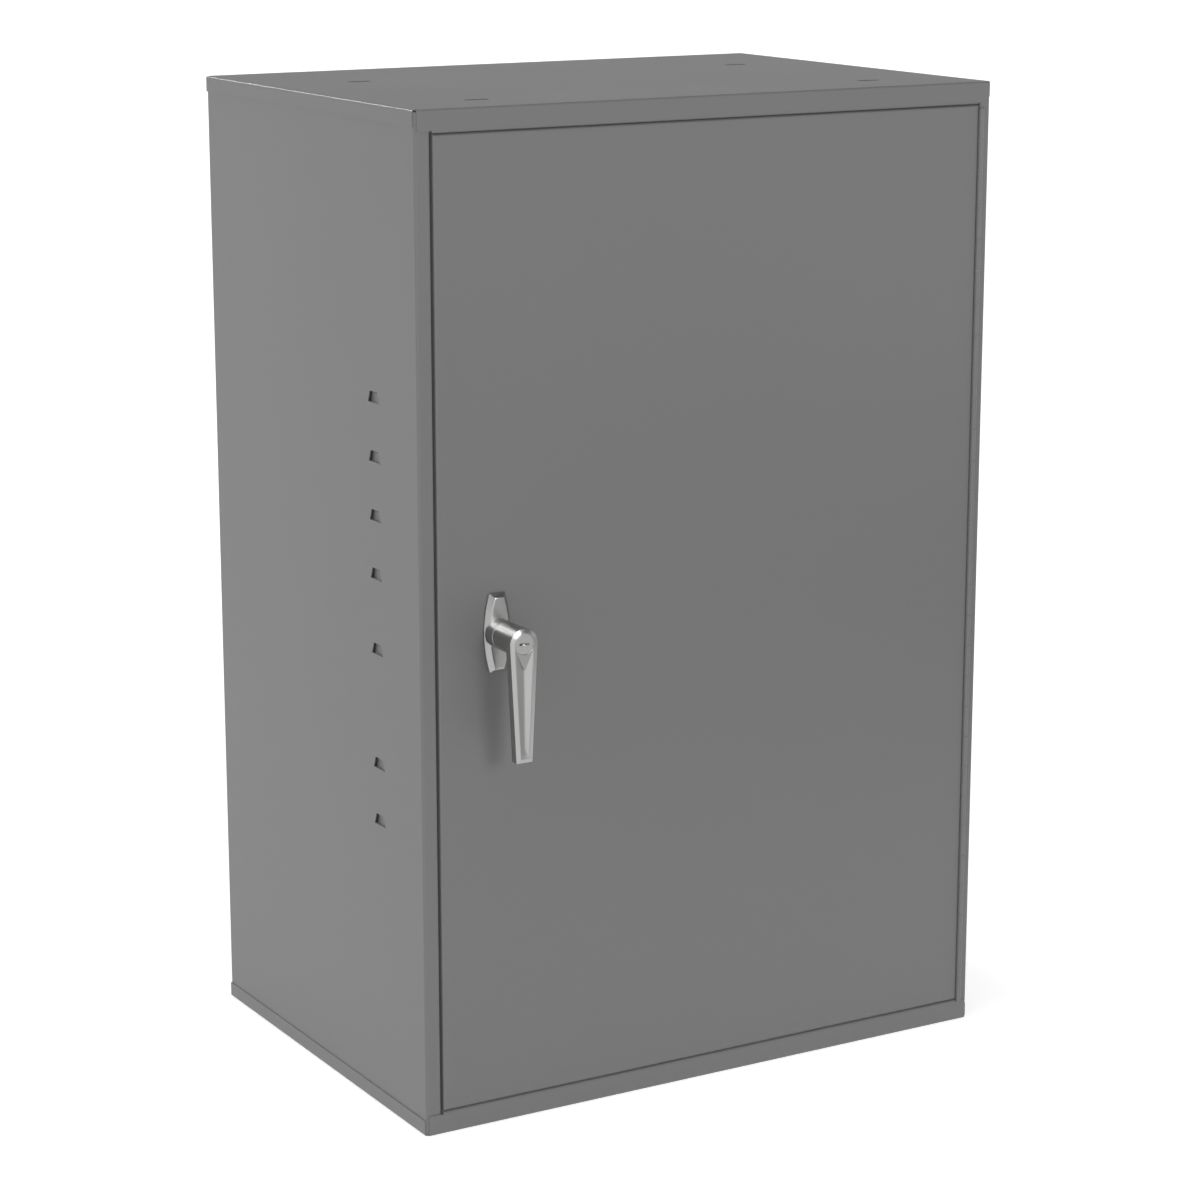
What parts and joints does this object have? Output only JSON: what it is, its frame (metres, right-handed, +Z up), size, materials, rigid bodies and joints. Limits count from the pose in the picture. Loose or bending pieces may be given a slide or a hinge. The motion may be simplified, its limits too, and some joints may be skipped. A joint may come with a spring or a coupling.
{
  "type": "steel storage cabinet",
  "caption": "Folded sheet-steel storage cabinet with a flush hinged door, a keyed L-handle that draws lock rods, and lift-out shelves on pressed tabs.",
  "frame": {"origin": "middle of the base plate's underside, on the floor, midway between the sides and between front and back flanges", "axes": "+Z up, -Y out of the front through the door, +X to the right facing the front (the hinge side)"},
  "size_m": [0.505, 0.4011, 0.77],
  "materials": {
    "painted_steel": "mid-grey satin powder coat",
    "zinc_plated_steel": "bright zinc plate",
    "satin_chrome": "satin chrome on die-cast zinc",
    "plated_brass": "nickel-plated brass",
    "bumper_rubber": "black moulded rubber"
  },
  "bodies": {
    "carcass": {"left_side_panel": "painted_steel", "right_side_panel": "painted_steel", "back_panel": "painted_steel", "top_pan": "painted_steel", "bottom_pan": "painted_steel", "hinge_fixed_leaf": "painted_steel", "hinge_pin": "zinc_plated_steel", "door_stops": "painted_steel", "door_bumpers": "bumper_rubber"},
    "door": {"door_panel": "painted_steel", "door_stiffener": "painted_steel", "hinge_door_leaf": "painted_steel", "handle_escutcheon": "satin_chrome", "escutcheon_screws": "zinc_plated_steel", "upper_rod_guides": "zinc_plated_steel", "lower_rod_guides": "zinc_plated_steel"},
    "handle": {"handle_lever": "satin_chrome", "lock_cylinder": "plated_brass", "handle_spindle": "zinc_plated_steel", "spindle_ring": "zinc_plated_steel", "latch_cam": "zinc_plated_steel", "cam_pins": "zinc_plated_steel", "cam_washer": "zinc_plated_steel", "cam_nut": "zinc_plated_steel"},
    "lock_plug": {"lock_plug": "plated_brass"},
    "upper_rod": {"upper_lock_rod": "zinc_plated_steel"},
    "lower_rod": {"lower_lock_rod": "zinc_plated_steel"},
    "upper_shelf": {"upper_shelf": "painted_steel"},
    "lower_shelf": {"lower_shelf": "painted_steel"}
  },
  "joints": [
    {"name": "door_swing", "type": "hinge", "parent": "carcass", "child": "door", "pos_m": [0.2431, -0.1794, 0.385], "axis": [0, 0, 1], "range_deg": [0, 180]},
    {"name": "handle_turn", "type": "hinge", "parent": "door", "child": "handle", "pos_m": [-0.1888, -0.1786, 0.385], "axis": [0, -1, 0], "range_deg": [0, 90]},
    {"name": "lock_plug_turn", "type": "hinge", "parent": "handle", "child": "lock_plug", "pos_m": [-0.1888, -0.21, 0.385], "axis": [0, -1, 0], "range_deg": [0, 90]},
    {"name": "upper_rod_slide", "type": "slide", "parent": "door", "child": "upper_rod", "axis": [0, 0, -1], "range_m": [0, 0.0227]},
    {"name": "lower_rod_slide", "type": "slide", "parent": "door", "child": "lower_rod", "axis": [0, 0, 1], "range_m": [0, 0.0227]},
    {"name": "upper_shelf_lift", "type": "slide", "parent": "carcass", "child": "upper_shelf", "axis": [0, 0, 1], "range_m": [0, 0.03]},
    {"name": "lower_shelf_lift", "type": "slide", "parent": "carcass", "child": "lower_shelf", "axis": [0, 0, 1], "range_m": [0, 0.03]}
  ],
  "couplings": [
    {"joint": "upper_rod_slide", "follows": "handle_turn", "m_per_rad": 0.014405},
    {"joint": "lower_rod_slide", "follows": "handle_turn", "m_per_rad": 0.014405}
  ]
}
